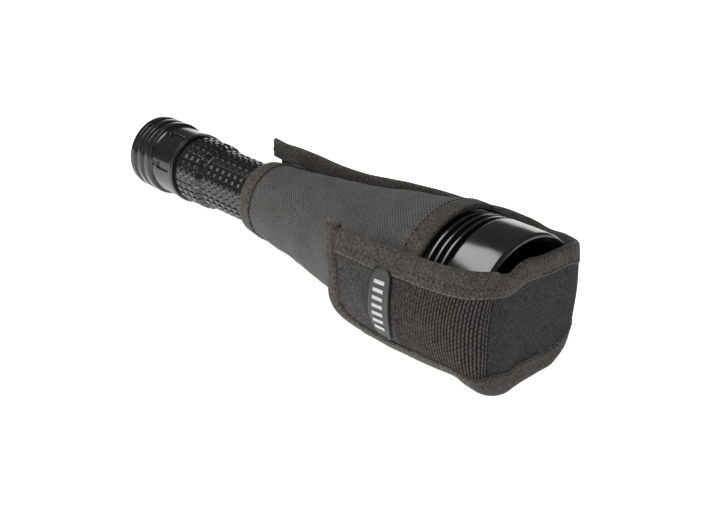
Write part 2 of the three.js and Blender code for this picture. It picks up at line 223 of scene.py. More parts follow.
def make_piece(name, points, faces, material, uv=None, crease=35.0):
    """A mesh object from points in millimetres. uv holds one pair for each point."""
    mesh = bpy.data.meshes.new(name)
    mesh.from_pydata(to_world(points).tolist(), [], faces)
    if uv is not None:
        layer = mesh.uv_layers.new(name="cloth")
        corner = np.empty(len(mesh.loops), np.int32)
        mesh.loops.foreach_get("vertex_index", corner)
        layer.data.foreach_set("uv", np.asarray(uv, np.float32)[corner].ravel())
    shell = bmesh.new()
    shell.from_mesh(mesh)
    bmesh.ops.remove_doubles(shell, verts=shell.verts, dist=1e-7)
    bmesh.ops.recalc_face_normals(shell, faces=shell.faces)
    shell.to_mesh(mesh)
    shell.free()
    mesh.polygons.foreach_set("use_smooth", [True] * len(mesh.polygons))
    mesh.set_sharp_from_angle(angle=math.radians(crease))
    mesh.materials.append(material)
    piece = bpy.data.objects.new(name, mesh)
    bpy.context.scene.collection.objects.link(piece)
    return piece


def place(piece, body, slot, *nodes):
    """Rides the piece on a body and has it stand for the CAD nodes named."""
    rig.ride(piece, body)
    finish_piece(piece, slot, *nodes)


def finish_piece(piece, slot, *nodes):
    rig.slot(piece, slot)
    if nodes:
        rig.replaces(piece, *nodes)


def grid_faces(columns, rows, offset=0, wrap_columns=False, wrap_rows=False):
    """Quads of a grid of points held column by column."""
    faces = []
    for i in range(columns if wrap_columns else columns - 1):
        for j in range(rows if wrap_rows else rows - 1):
            a = i * rows + j
            b = ((i + 1) % columns) * rows + j
            c = ((i + 1) % columns) * rows + (j + 1) % rows
            d = i * rows + (j + 1) % rows
            faces.append((offset + a, offset + b, offset + c, offset + d))
    return faces


def rod_faces(rings, turns, offset=0):
    """Faces of a rod closed at both ends, its points held ring by ring."""
    last = offset + (rings - 1) * turns
    caps = [tuple(range(offset, offset + turns)), tuple(reversed(range(last, last + turns)))]
    return grid_faces(rings, turns, offset=offset, wrap_rows=True) + caps


def circle(steps):
    return np.linspace(0.0, math.tau, steps, endpoint=False)


def smooth_table(rows, width):
    """A smooth curve through a short table of (place, value) rows, eased over width."""
    places, values = np.array(rows, float).T
    slopes = np.diff(values) / np.diff(places)
    past = 3 * width
    places = np.concatenate([[places[0] - past], places, [places[-1] + past]])
    values = np.concatenate([[values[0] - slopes[0] * past], values, [values[-1] + slopes[-1] * past]])
    dense = np.arange(places[0], places[-1], 0.5)
    raw = np.interp(dense, places, values)
    reach = np.arange(-2 * width, 2 * width + 0.25, 0.5)
    kernel = np.exp(-0.5 * (reach / (0.5 * width)) ** 2)
    eased = np.convolve(raw, kernel / kernel.sum(), mode="same")
    edge = len(reach)
    eased[:edge], eased[-edge:] = raw[:edge], raw[-edge:]
    return lambda at: np.interp(at, dense, eased)


def smoothstep(low, high, value):
    t = np.clip((value - low) / (high - low), 0, 1)
    return t * t * (3.0 - 2.0 * t)


def ripple(a, b, seed, scale, waves=7):
    """Soft cloth-like unevenness, mostly within 1 either way: a sum of seeded sine waves."""
    random = np.random.default_rng(seed)
    total = np.zeros(np.broadcast(a, b).shape)
    for _ in range(waves):
        heading = random.uniform(0.0, math.tau)
        length = scale * random.uniform(0.6, 1.8)
        phase = random.uniform(0.0, math.tau)
        along = a * math.cos(heading) + b * math.sin(heading)
        total = total + np.sin(math.tau * along / length + phase)
    return total / math.sqrt(waves)


# Turned parts

def rounded(outline, radius):
    """The closed outline of (x, r) pairs with each corner eased by a short arc."""
    points = [Vector(pair) for pair in outline]
    result = []
    for before, corner, after in zip(points[-1:] + points[:-1], points, points[1:] + points[:1]):
        to_before, to_after = before - corner, after - corner
        if corner.y < 1e-6 or to_before.length < 1e-6 or to_after.length < 1e-6:
            result.append(tuple(corner))
            continue
        reach = min(radius, 0.4 * to_before.length, 0.4 * to_after.length)
        start = corner + to_before.normalized() * reach
        end = corner + to_after.normalized() * reach
        for t in (0.0, 0.35, 0.65, 1.0):
            point = start.lerp(corner, t).lerp(corner.lerp(end, t), t)
            result.append(tuple(point))
    return result


def turned(name, outline, material, angles, lift=None, crease=35.0):
    """A part turned round the light's axis from a closed (x, r) outline. lift(x, radius, angle),
    where it is given, is how far the skin stands out of the outline at each point."""
    outline = np.array(outline)
    angle, x = np.meshgrid(angles, outline[:, 0], indexing="ij")
    radius = np.tile(outline[:, 1], (len(angles), 1))
    if lift is not None:
        radius = radius + lift(x, radius, angle)
    points = np.stack([x, -radius * np.cos(angle), radius * np.sin(angle)], axis=-1)
    faces = grid_faces(len(angles), len(outline), wrap_columns=True, wrap_rows=True)
    return make_piece(name, points.reshape(-1, 3), faces, material, crease=crease)


def angles_for(count, fractions):
    """Angles that fall on the edges of count equal features round the axis."""
    return np.array([math.tau / count * (i + f) for i in range(count) for f in fractions])


# Materials

class Finish:
    """A node material under construction, in terms of small maths on its sockets."""

    def __init__(self, name, color, roughness, metallic=0.0, specular=0.5):
        self.material = bpy.data.materials.new(name)
        self.material.use_nodes = True
        self.tree = self.material.node_tree
        self.surface = self.tree.nodes["Principled BSDF"]
        self.material.diffuse_color = (*color, 1.0)
        self.set(Base_Color=(*color, 1.0), Roughness=roughness)
        self.set(Metallic=metallic, Specular_IOR_Level=specular)

    def node(self, kind, **settings):
        node = self.tree.nodes.new(kind)
        for key, value in settings.items():
            setattr(node, key, value)
        return node

    def feed(self, socket, value):
        if isinstance(value, bpy.types.NodeSocket):
            self.tree.links.new(value, socket)
        else:
            socket.default_value = value

    def math(self, operation, *values):
        node = self.node("ShaderNodeMath", operation=operation)
        for socket, value in zip(node.inputs, values):
            self.feed(socket, value)
        return node.outputs[0]

    def scaled(self, value, scale, shift):
        return self.math("MULTIPLY_ADD", value, scale, shift)

    def mix(self, factor, dark, light):
        node = self.node("ShaderNodeMix", data_type="RGBA")
        for index, value in ((0, factor), (6, (*dark, 1.0)), (7, (*light, 1.0))):
            self.feed(node.inputs[index], value)
        return node.outputs[2]

    def noise(self, scale, detail=3.0):
        node = self.node("ShaderNodeTexNoise")
        node.inputs["Scale"].default_value = scale
        node.inputs["Detail"].default_value = detail
        self.feed(node.inputs["Vector"], self.node("ShaderNodeTexCoord").outputs["Object"])
        return node.outputs["Fac"]

    def cloth_axes(self):
        """Millimetres along and across the cloth."""
        split = self.node("ShaderNodeSeparateXYZ")
        self.feed(split.inputs[0], self.node("ShaderNodeUVMap", uv_map="cloth").outputs["UV"])
        return split.outputs[:2]

    def wave(self, along, pitch):
        """A sine of the given pitch, from -1 to 1."""
        return self.math("SINE", self.math("MULTIPLY", along, math.tau / pitch))

    def bump(self, height, distance, strength=1.0):
        node = self.node("ShaderNodeBump")
        node.inputs["Strength"].default_value = strength
        node.inputs["Distance"].default_value = distance
        self.feed(node.inputs["Height"], height)
        self.feed(self.surface.inputs["Normal"], node.outputs["Normal"])

    def set(self, **values):
        for key, value in values.items():
            self.feed(self.surface.inputs[key.replace("_", " ")], value)


def metal(name, color, roughness, grain=0.04):
    finish = Finish(name, color, roughness, metallic=1.0)
    speckle = finish.noise(900.0, 2.0)
    finish.set(Roughness=finish.scaled(speckle, grain * 2.0, roughness - grain))
    finish.bump(finish.noise(2600.0, 2.0), 0.00002, 0.25)
    return finish.material


def anodised():
    """Glossy black anodising."""
    finish = Finish("anodised_black", (0.012, 0.011, 0.01), 0.24, specular=0.65)
    cloud = finish.noise(150.0, 3.0)
    finish.set(Roughness=finish.scaled(cloud, 0.08, 0.12))
    finish.set(Base_Color=finish.mix(cloud, (0.01, 0.0092, 0.0084), (0.018, 0.0168, 0.0155)))
    finish.bump(finish.noise(700.0, 2.0), 0.000005, 0.1)
    return finish.material


def moulded(name, color, roughness, grain=1500.0, depth=0.00005):
    finish = Finish(name, color, roughness, specular=0.4)
    speckle = finish.noise(grain, 3.0)
    finish.set(Roughness=finish.scaled(speckle, 0.16, roughness - 0.08))
    finish.bump(speckle, depth, 0.6)
    return finish.material


def woven(name, dark, light, pitch, depth, hollow_shade, clumps):
    """Plain weave: threads over and under, with uneven fibres and clumps of threads between them. Where the threads
    dip under, the colour is painted darker: painted shade in the weave's hollows.
    """
    finish = Finish(name, light, 0.9, specular=0.16)
    along, across = finish.cloth_axes()
    over = finish.math("MULTIPLY", finish.wave(along, pitch), finish.wave(across, pitch))
    fibre = finish.noise(2400.0, 3.0)
    clump = finish.noise(760.0, 2.0)
    patch = finish.noise(110.0, 3.0)
    height = finish.scaled(over, 0.34, finish.scaled(fibre, 0.5, 0.4))
    # Painted shade: the tone follows the weave's relief and is darker where the threads dip under.
    tone = finish.scaled(over, hollow_shade, finish.scaled(fibre, 0.6, -0.3))
    tone = finish.scaled(clump, clumps * 2.0, finish.math("ADD", tone, 0.5 - clumps))
    tone = finish.scaled(patch, 0.5, finish.math("ADD", tone, -0.25))
    finish.set(Base_Color=finish.mix(tone, dark, light))
    finish.set(Sheen_Weight=0.1, Sheen_Roughness=0.5)
    finish.bump(height, depth)
    return finish.material


def elastic(start, end):
    """Ribbed elastic: raised ribs across the band, with rungs of thread between furrows that are painted dark: painted
    shade.
    The ribs and their painted shade are strongest at start and almost lost at end."""
    finish = Finish("elastic_weave", (0.05, 0.046, 0.041), 0.9, specular=0.15)
    along, across = finish.cloth_axes()
    rib = finish.math("ABSOLUTE", finish.wave(along, 2.0 * RIB_PITCH))
    step = finish.math("MULTIPLY", finish.wave(across, 2.4), finish.wave(along, 2.0 * RIB_PITCH))
    fade = finish.node("ShaderNodeMapRange", interpolation_type="SMOOTHSTEP")
    for socket, value in zip(fade.inputs[:5], (along, start + 8.0, end, 1.0, 0.25)):
        finish.feed(socket, value)
    clump = finish.noise(760.0, 3.0)
    relief = finish.math("MULTIPLY", fade.outputs[0], finish.scaled(step, 0.35, rib))
    height = finish.scaled(clump, 0.5, relief)
    # Painted shade: the colour darkens in the furrows between the ribs, following the relief.
    furrow_shade = finish.scaled(step, 0.35, finish.scaled(rib, 1.5, -0.95))
    tone = finish.scaled(finish.math("MULTIPLY", furrow_shade, fade.outputs[0]), 0.8, 0.45)
    tone = finish.scaled(clump, 1.6, finish.math("ADD", tone, -0.8))
    finish.set(Base_Color=finish.mix(tone, (0.008, 0.0074, 0.0067), (0.094, 0.087, 0.077)))
    finish.bump(height, 0.0003)
    return finish.material


def glass():
    finish = Finish("lens_glass", (0.95, 0.97, 0.98), 0.03, specular=0.5)
    clear = finish.node("ShaderNodeBsdfTransparent")
    gloss = finish.node("ShaderNodeBsdfGlossy")
    gloss.inputs["Roughness"].default_value = 0.02
    fresnel = finish.node("ShaderNodeFresnel")
    fresnel.inputs["IOR"].default_value = 1.25
    smudge = finish.scaled(finish.noise(30.0, 2.0), 0.1, 0.95)
    blend = finish.node("ShaderNodeMixShader")
    mirrored = finish.math("MULTIPLY", fresnel.outputs[0], smudge)
    for socket, value in zip(blend.inputs, (mirrored, clear.outputs[0], gloss.outputs[0])):
        finish.feed(socket, value)
    finish.feed(finish.tree.nodes["Material Output"].inputs["Surface"], blend.outputs[0])
    return finish.material


ANODISED = anodised()
STEEL = metal("spring_steel", (0.55, 0.55, 0.56), 0.3)
BRASS = metal("brass", (0.62, 0.42, 0.16), 0.3)
MIRROR = metal("reflector_coating", (0.88, 0.87, 0.85), 0.22, grain=0.03)
RUBBER = moulded("seal_rubber", (0.012, 0.012, 0.013), 0.6)
PLASTIC = moulded("moulded_plastic", (0.02, 0.02, 0.022), 0.45)
CELL_WRAP = moulded("battery_sleeve", (0.35, 0.03, 0.025), 0.35)
WIRE_RED = moulded("red_insulation", (0.4, 0.02, 0.02), 0.5)
BOARD = moulded("circuit_board", (0.015, 0.07, 0.03), 0.35)
LED_BOARD = moulded("led_board_mask", (0.7, 0.7, 0.68), 0.5)
PHOSPHOR = moulded("phosphor", (0.75, 0.55, 0.09), 0.35)
GLASS = glass()
TWILL = woven("twill", (0.034, 0.033, 0.03), (0.135, 0.13, 0.12), 2.1, 0.0004, 0.6, 0.5)
TAPE = woven("binding_tape", (0.014, 0.013, 0.011), (0.125, 0.115, 0.1), 1.3, 0.00018, 0.4, 0.8)
WEB = woven("web_weave", (0.01, 0.0095, 0.0085), (0.09, 0.083, 0.073), 1.5, 0.0005, 0.9, 1.7)
# A darker copy of the web weave for the belt side and the end panel: painted shade for the lesser light that falls on
# them.
SHADED_WEB = woven("end_weave", (0.008, 0.0074, 0.0066), (0.052, 0.047, 0.041), 1.7, 0.0006, 0.9, 1.9)
FLUFF = woven("hook_and_loop", (0.006, 0.006, 0.006), (0.025, 0.025, 0.025), 0.8, 0.0004, 0.3, 0.7)
THREAD = moulded("thread", (0.012, 0.011, 0.01), 0.8)
PALE_THREAD = moulded("pale_thread", (0.19, 0.178, 0.16), 0.8)
BADGE_RUBBER = moulded("badge_rubber", (0.012, 0.012, 0.013), 0.4)
BADGE_FACE = moulded("badge_face", (0.06, 0.06, 0.062), 0.45)
BADGE_MARK = moulded("badge_mark", (0.62, 0.62, 0.6), 0.45)


# The light: tail cap, boot and seals

def build_tail_cap():
    rings = [
        (0, 16.2), (0, 21.9), (0.6, TAIL_RING_R), (4.2, TAIL_RING_R), (4.9, 21), (7, 21),
        (7.7, TAIL_RING_R), (11.4, TAIL_RING_R), (12.1, 21), (14.2, 21), (14.9, TAIL_RING_R),
        (19.2, TAIL_RING_R), (19.8, TAIL_BODY_R),
    ]
    fluted = [(x, TAIL_BODY_R) for x in np.linspace(20.6, 38.0, 60)]
    rest = [
        (38.4, TAIL_BODY_R), (38.9, 21.4), (40, 21.4), (40.4, 20.7), (40.8, 21.4), (42, 21.4),
        (42, TUBE_R), (27.5, TUBE_R), (27.5, 16.4), (6, 16.4), (6, 12), (4, 12), (4, 16.2),
    ]
    outline = rounded(rings, 0.3)[:-3] + fluted + rounded(rest, 0.2)[3:]
    half_width, corner_r, rear, front, flute_depth = 2.0, 1.0, 25.2, 37.2, 1.3
    seat_x, seat_r = 22.6, 1.7
    step = math.tau / FLUTES
    first = math.radians(FLUTE_START_DEG)

    def lift(x, radius, angle):
        across = np.abs((angle - first + step / 2.0) % step - step / 2.0) * TAIL_BODY_R
        on_skin = (radius > TAIL_BODY_R - 0.05) & (x > 20.2) & (x < 38.2)
        inside_x = np.minimum(x - rear, front - x)
        corner = np.hypot(np.maximum(across - (half_width - corner_r), 0.0),
                          np.maximum(corner_r - inside_x, 0.0))
        depth = smoothstep(1.15, 0.75, corner) * (inside_x > -0.2)
        from_seat = np.hypot(x - seat_x, across)
        bowl = np.sqrt(np.maximum(seat_r ** 2 - from_seat ** 2, 0.0))
        return np.where(on_skin, -np.maximum(flute_depth * depth, 0.9 * bowl), 0.0)

    fine_half, coarse_start = 3.4 / TAIL_BODY_R, 3.9 / TAIL_BODY_R
    one = np.concatenate([np.linspace(-fine_half, fine_half, 41),
                          np.linspace(coarse_start, step - coarse_start, 14)])
    angles = np.concatenate([first + one + i * step for i in range(FLUTES)])
    return turned("fluted_tail_cap", outline, ANODISED, angles, lift, crease=28)


def build_switch_boot():
    dome_r, rings = 9.4, 3
    dome = [(1.5 - 0.7 * math.cos(a), dome_r * math.sin(a)) for a in np.linspace(0.0, math.pi / 2, 14)]
    outline = dome + [
        (3, 11.2), (6.4, 11.5), (6.4, 15.9), (7.6, 15.9), (7.6, 10.2), (4, 10), (2.6, 8.6), (2.2, 0),
    ]

    def lift(x, radius, angle):
        ripples = 0.12 * np.cos(math.tau * rings * radius / dome_r)
        return np.where((x < 1.6) & (radius > 0.5), ripples, 0.0)

    return turned("rubber_boot", outline, RUBBER, circle(96), lift)


def build_seal(name, x, radius, half):
    ring = [(x + half * math.cos(a), radius + half * math.sin(a)) for a in circle(16)]
    return turned(name, ring, RUBBER, circle(96))


# The light: knurled tube

PAD_PITCH = 5.5
PADS_ROUND = 28
PAD_HEIGHT = 0.85
PAD_REAR, PAD_FRONT, PAD_SLOPE = 0.12, 0.92, 0.15
COLLAR_R, COLLAR_END, BARREL_START = 19.35, 61.6, 65.6
THREAD_PITCH = 1.5
THREAD_DEPTH = 0.3


def build_tube():
    start, end = 43.2, 187.4
    first = start + 0.6
    barrel_r = TUBE_R - 0.15
    edges = (0, PAD_REAR, PAD_REAR + PAD_SLOPE, PAD_FRONT - PAD_SLOPE, PAD_FRONT)
    cells = np.arange(first, end - PAD_PITCH, PAD_PITCH)
    stations = [cell + PAD_PITCH * edge for cell in cells for edge in edges] + [COLLAR_END, BARREL_START]
    skin = np.interp(sorted(stations), [COLLAR_END, BARREL_START], [COLLAR_R, barrel_r])
    thread_xs = np.arange(28.8, 37.0, THREAD_PITCH / 6.0)
    outline = [(28.2, 13.8), (28.2, 16.6)] + [(x, 16.7) for x in thread_xs]
    outline += [(37.5, 16.9), (37.6, 15.5), (40.4, 15.5), (40.5, 16.9), (42.3, 16.9), (42.4, 19.4)]
    outline += [(42.7, 19.5)]
    outline += list(zip(sorted(stations), skin))
    outline += [(187.5, TUBE_R), (187.6, 16.9), (191.6, 16.9), (191.7, 15.4), (194.4, 15.4), (194.5, 16.9)]
    outline += [(228, 16.9), (228, 13.8)]

    def lift(x, radius, angle):
        along = ((x - first) / PAD_PITCH) % 1.0
        across = (angle * PADS_ROUND / (math.tau)) % 1.0
        pad = np.clip((along - PAD_REAR) / PAD_SLOPE, 0, 1)
        pad = pad * np.clip((PAD_FRONT - along) / PAD_SLOPE, 0, 1)
        pad = pad * smoothstep(0.12, 0.22, across) * smoothstep(0.88, 0.78, across)
        in_knurl = (x > start + 0.5) & (x < end - PAD_PITCH) & (radius > 17.1)
        knurl = np.where(in_knurl, PAD_HEIGHT * pad, 0.0)
        thread = THREAD_DEPTH * np.abs(((x / THREAD_PITCH + angle / (math.tau)) % 1.0) * 2.0 - 1.0)
        in_thread = (x > 28.6) & (x < 37.2) & (radius > 16.5)
        return knurl + np.where(in_thread, thread, 0.0)

    angles = angles_for(PADS_ROUND, (0.0, 0.11, 0.23, 0.5, 0.77, 0.89))
    return turned("knurled_tube", outline, ANODISED, angles, lift, crease=30)


# The light: head, bezel, reflector and emitters

def build_head():
    outline = [
        (188, 17.3), (188, 19.6), (189, 20.2), (193, 20.2), (212, 31.6), (222, 34.6),
        (235, HEAD_R - 0.6), (238, HEAD_R), (239, 35.2), (241.4, 35.2), (242.2, HEAD_R),
        (246, HEAD_R), (246.8, 35.2), (249.2, 35.2), (250, HEAD_R), (253.6, HEAD_R), (254.4, 34.8),
        (257, 34.8), (257.8, HEAD_R),
    ]
    for fin in (259.6, 263.8, 268.0):
        outline += [(fin, HEAD_R), (fin + 0.5, 35.4), (fin + 2.2, 35.4), (fin + 2.7, HEAD_R)]
    outline[-1] = (BEZEL_START_X - 0.3, 35.4)
    outline += [(280, 36.6), (280, 34.8), (257.4, 34.8), (257.4, 3.2), (240, 3.2), (240, 16),
                (228.6, 16), (228.6, 17.3)]
    return turned("finned_head", rounded(outline, 0.3), ANODISED, circle(192))


def build_bezel():
    outline = [
        (BEZEL_START_X, 36.9), (BEZEL_START_X, 38.6), (272, 39), (284, 39.05), (293.6, 38.9),
        (BEZEL_FRONT_X, 38.2), (BEZEL_FRONT_X, 36.9), (294.2, 35.2), (292.4, 34.2), (290.7, 32.8),
        (290.7, 34.6), (280.4, 34.6), (280.4, 36.9),
    ]
    notches = 6
    step = math.tau / notches

    def lift(x, radius, angle):
        offset = np.abs((angle + step / 2.0) % step - step / 2.0)
        notch = smoothstep(0.16, 0.12, offset)
        return np.where((x > 294.0) & (radius < 37.0), notch * 0.9, 0.0)

    angles = angles_for(notches, np.linspace(0.0, 1.0, 40, endpoint=False))
    return turned("bezel", rounded(outline, 0.35), ANODISED, angles, lift)


def emitter_places():
    """The middle of each cup and its emitter: one on the axis and six round it, as (y, z)."""
    ring = [math.radians(30.0 + 60.0 * i) for i in range(6)]
    return [(0.0, 0.0)] + [(EMITTER_RING_R * math.cos(a), EMITTER_RING_R * math.sin(a)) for a in ring]


def build_reflector():
    """A disc pressed into seven deep cups: a height field over rings of points, closed by a flat back."""
    back, front, cup_r, throat_r, rim_r, back_r = 262.0, 286.0, 11.9, 3.4, 34.2, 31.0
    radii = [*np.linspace(0.0, rim_r - 0.8, 84), rim_r, back_r, 0.0]
    radius, angle = np.meshgrid(radii, circle(240))
    y, z = radius * np.cos(angle), radius * np.sin(angle)
    face = np.full(radius.shape, front)
    for cup_y, cup_z in emitter_places():
        rho = np.hypot(y - cup_y, z - cup_z)
        rise = (rho ** 2 - throat_r ** 2) / (cup_r ** 2 - throat_r ** 2)
        face = np.minimum(face, back + (front - back) * np.clip(rise, 0, 1))
    face[:, -3] = front
    face[:, -2:] = back - 0.6
    points = np.stack([face, y, z], axis=-1).reshape(-1, 3)
    faces = grid_faces(*radius.shape, wrap_columns=True)
    return make_piece("cup_reflector", points, faces, MIRROR, crease=40)


def build_emitter(index, y, z):
    dome = [(261.2 + 1.5 * math.cos(a), 1.7 * math.sin(a)) for a in np.linspace(0.0, math.pi / 2, 8)]
    outline = dome + [(261.2, 2.5), (259.6, 2.5), (259.6, 0)]
    piece = turned(f"emitter_dome_{index}", outline, PHOSPHOR, circle(24))
    piece.data.transform(Matrix.Translation(TURNING @ Vector((0.0, y, z)) * MM))
    return piece


def build_light():
    place(build_tail_cap(), "tail_cap", "anodised_aluminium", "tail_cap")
    place(build_switch_boot(), "switch_button", "seal_rubber", "switch_boot")
    place(build_seal("tail_cap_o_ring", 39.0, 16.35, 0.75), "light", "seal_rubber", "tail_cap_seal")
    place(build_seal("head_o_ring", 193.0, 16.25, 0.75), "light", "seal_rubber", "head_seal")
    place(build_tube(), "light", "anodised_aluminium", "battery_tube")
    place(build_head(), "light", "anodised_aluminium", "head_body")
    place(build_bezel(), "light", "anodised_aluminium", "bezel_ring")
    place(build_reflector(), "light", "reflector_coating", "reflector")
    for number, (y, z) in enumerate(emitter_places(), start=1):
        place(build_emitter(number, y, z), "light", "phosphor", f"emitter_{number}")


# The holster's band, from its tail end along the belt side, round the head's face and back.
# Each row: x and y of its middle line, its lower and upper edge, and how far each of them curls round.

BAND = [
    (84, 25.6, -25, 24.2, 0, 0), (95, 24.8, -24.8, 24, 0, 0), (107, 24.3, -24.5, 24.9, 0, 0),
    (122, 25.9, -24, 23.9, 0, 0), (140, 28.1, -23.5, 21.9, 0, 0), (158, 30.8, -23, 21.3, 0, 0),
    (178, 34.3, -23.5, 22.6, 0, 0), (197, 38.5, -24, 22.9, 0, 0), (212, 41.3, -24.5, 22.9, 0, 0),
    (229, 42.8, -25, 23.2, 0, 0), (242, 43.1, -25.5, 24.6, 0, 0), (256, 43.2, -26, 24.7, 0, 0),
    (266, 43.1, -26, 24, 0, 0), (275, 42.9, -26, 22.7, 0.1, 0), (285, 42.2, -26.4, 23.8, 0.25, 0.05),
    (293.4, 40.2, -27.4, 24.2, 0.45, 0.15), (298, 35.4, -29.6, 26.2, 0.45, 0.2),
    (299.4, 29, -32.2, 28.2, 0.3, 0.1), (299.8, 17, -34.8, 28.7, 0, 0), (299.8, 5, -35, 29.3, 0, 0),
    (299.6, -6, -35.3, 30.8, 0, 0), (299.6, -12, -36, 30.2, 0, 0), (299.9, -18, -36.4, 28.5, 0, 0.05),
    (299.4, -27, -34, 29.6, 0, 0.2), (297, -36, -31.1, 30.2, 0.2, 0.7),
    (290.6, -40.4, -30.4, 29.2, 0.62, 0.95), (282, -42, -29.7, 28.2, 0.95, 1),
    (272, -43, -29.8, 27.5, 1, 1), (252, -43.6, -30.3, 27, 1, 1), (232, -44.2, -29.7, 26.5, 1, 1),
    (214, -43.2, -28.5, 26, 0.95, 0.8), (204, -41.7, -27.6, 25.8, 0.75, 0.5),
    (197, -40.4, -27, 25.6, 0.7, 0.4),
]
BELT_SIDE_ROWS = 13
MID_END_ROW = 19
NEAR_CORNER_ROW = 24
ELASTIC_END_ROW = 28
FREE_CORNER_R = 19.0


def seam_table(column):
    """A column of BAND along the belt side, where the sleeve is sewn on, as a function of x."""
    return smooth_table([(row[0], row[column]) for row in BAND[:BELT_SIDE_ROWS]], 8.0)


seam_reach, seam_bottom, seam_top = seam_table(1), seam_table(2), seam_table(3)


# The holster's sleeve: its surface, from x along the light and side across it

SLEEVE_RADII = [
    (105, 20.6), (118, 22.1), (150, 25.8), (181, 31.2), (205, 37.4), (222, 40.4), (240, 40.9), (256, 41.2),
]
SLEEVE_SAGS = [(120, 0), (150, 0.8), (181, 2.4), (205, 4.2), (222, 4.6), (236, 1.6), (245, 0), (256, 0)]
sleeve_radius = smooth_table(SLEEVE_RADII, 10.0)
sleeve_sag = smooth_table(SLEEVE_SAGS, 8.0)
CLOTH = 1.2
SEAM_IN = 11.5


def sleeve_section(x, side):
    """The section at x: an arc round the light, then a straight run to the seam on the band. Gives
    the arc's radius, its end angle, and the girth from the middle out to side."""
    radius = sleeve_radius(x)
    seam_y = seam_reach(x) - 1.0
    seam_z = np.where(side > 0.0, seam_top(x), -seam_bottom(x)) - SEAM_IN
    far = np.maximum(np.hypot(seam_y, seam_z), radius + 0.5)
    arc_end = np.arctan2(seam_z, -seam_y) - np.arccos(radius / far)
    girth = np.abs(side) * (radius * arc_end + np.sqrt(far ** 2 - radius ** 2))
    return radius, arc_end, girth


def sleeve_surface(x, side, offset):
    """A point of the sleeve: x along the light, side from -1 to 1 across it, offset outwards."""
    radius, arc_end, girth = sleeve_section(x, side)
    signed = girth * np.sign(side)
    give = 0.26 * ripple(x, signed, 11, 46.0) + 0.12 * ripple(x, signed, 12, 17.0)
    give = give * smoothstep(104.0, 118.0, x) * smoothstep(257.0, 244.0, x)
    angle = np.minimum(girth / radius, arc_end)
    beyond = np.maximum(girth - radius * arc_end, 0.0)
    reach = radius + offset + give
    y = -reach * np.cos(angle) + beyond * np.sin(angle)
    z = (reach * np.sin(angle) + beyond * np.cos(angle)) * np.where(side < 0.0, -1.0, 1.0)
    z = z - sleeve_sag(x) * smoothstep(0.3, 1.0, z / radius)
    return np.stack([x + 0.0 * y, y, z], axis=-1)


def sleeve_uv(x, side):
    girth = sleeve_section(x, side)[2]
    return np.stack([x + 0.0 * side, girth * np.sign(side)], axis=-1)


def sheet_piece(name, material, surface, uv, u, v, outer, inner):
    """A closed piece of cloth over the grid u by v, between two offsets of a surface."""
    across, along = np.meshgrid(v, u)
    top = surface(along, across, outer).reshape(-1, 3)
    bottom = surface(along, across, inner).reshape(-1, 3)
    columns, rows = len(u), len(v)
    count = columns * rows
    faces = grid_faces(columns, rows)
    faces += [tuple(count + i for i in reversed(face)) for face in faces]
    ends = [(i * rows + j, (i + 1) * rows + j) for i in range(columns - 1) for j in (0, rows - 1)]
    sides = [(i * rows + j, i * rows + j + 1) for j in range(rows - 1) for i in (0, columns - 1)]
    faces += [(a, b, count + b, count + a) for a, b in ends + sides]
    pairs = uv(along, across).reshape(-1, 2)
    both = np.concatenate([pairs, pairs])
    return make_piece(name, np.concatenate([top, bottom]), faces, material, uv=both, crease=50.0)


def tape_section(width, half):
    """A folded tape's section: (distance in from the edge, offset) all the way round."""
    bulge = 0.15
    side = [
        (0.0, 0.0), (0.15, 0.45 * half), (0.5, 0.8 * half), (1.1, half), (0.35 * width, half + bulge),
        (0.7 * width, half + bulge), (width - 0.9, half), (width - 0.25, half - 0.12), (width, half - 0.5),
    ]
    return side + [(a, -d) for a, d in reversed(side[1:])]


def tape_piece(name, surface, uv, edge, inward, section):
    """A binding tape folded over an edge. edge and inward hold (u, v) pairs: the edge's places, and
    the step in the surface's own coordinates that goes one millimetre in from it."""
    section = np.array(section)
    places = edge[:, None, :] + inward[:, None, :] * section[None, :, :1]
    offsets = np.broadcast_to(section[None, :, 1], places.shape[:2])
    points = surface(places[..., 0], places[..., 1], offsets).reshape(-1, 3)
    faces = rod_faces(*places.shape[:2])
    pairs = uv(places[..., 0], places[..., 1]).reshape(-1, 2)
    return make_piece(name, points, faces, TAPE, uv=pairs, crease=60.0)


def add_rod(points, faces, rings):
    """Adds a thin closed rod, given as rings of points along it."""
    faces.extend(rod_faces(len(rings), len(rings[0]), len(points)))
    for ring in rings:
        points.extend(ring)


STITCH_PITCH = 3.1
STITCH_ALONG = (-0.5, -0.38, 0.0, 0.38, 0.5)
STITCH_SWELL = (0.05, 0.8, 1.0, 0.8, 0.05)
STITCH_TILT = 0.12


def stitches(name, material, surface, line, offset, length=2.3, radius=0.3):
    """A row of sewn stitches along a line of (u, v) places on a surface."""
    points, lifted = (surface(line[:, 0], line[:, 1], np.full(len(line), offset + d)) for d in (0.0, 1.0))
    run = run_along(points)
    all_points, all_faces = [], []
    random = np.random.default_rng(len(name))

    def at(distance, path):
        return np.array([np.interp(distance, run, path[:, k]) for k in range(3)])

    def unit(step):
        return step / max(np.linalg.norm(step), 1e-9)

    for middle in np.arange(STITCH_PITCH, run[-1] - STITCH_PITCH / 2.0, STITCH_PITCH):
        centre = at(middle, points)
        along, up = unit(at(middle + 0.5, points) - centre), unit(at(middle, lifted) - centre)
        side = np.cross(along, up)
        tilt = random.normal(0.0, STITCH_TILT)
        heading = along * math.cos(tilt) + side * math.sin(tilt)
        across = np.cross(heading, up)
        rim = [(across * math.cos(a) + up * math.sin(a)) * radius for a in circle(6)]
        spine = [centre + heading * length * share for share in STITCH_ALONG]
        rings = [[point + way * size for way in rim] for point, size in zip(spine, STITCH_SWELL)]
        add_rod(all_points, all_faces, rings)
    return make_piece(name, np.array(all_points), all_faces, material, crease=80.0)


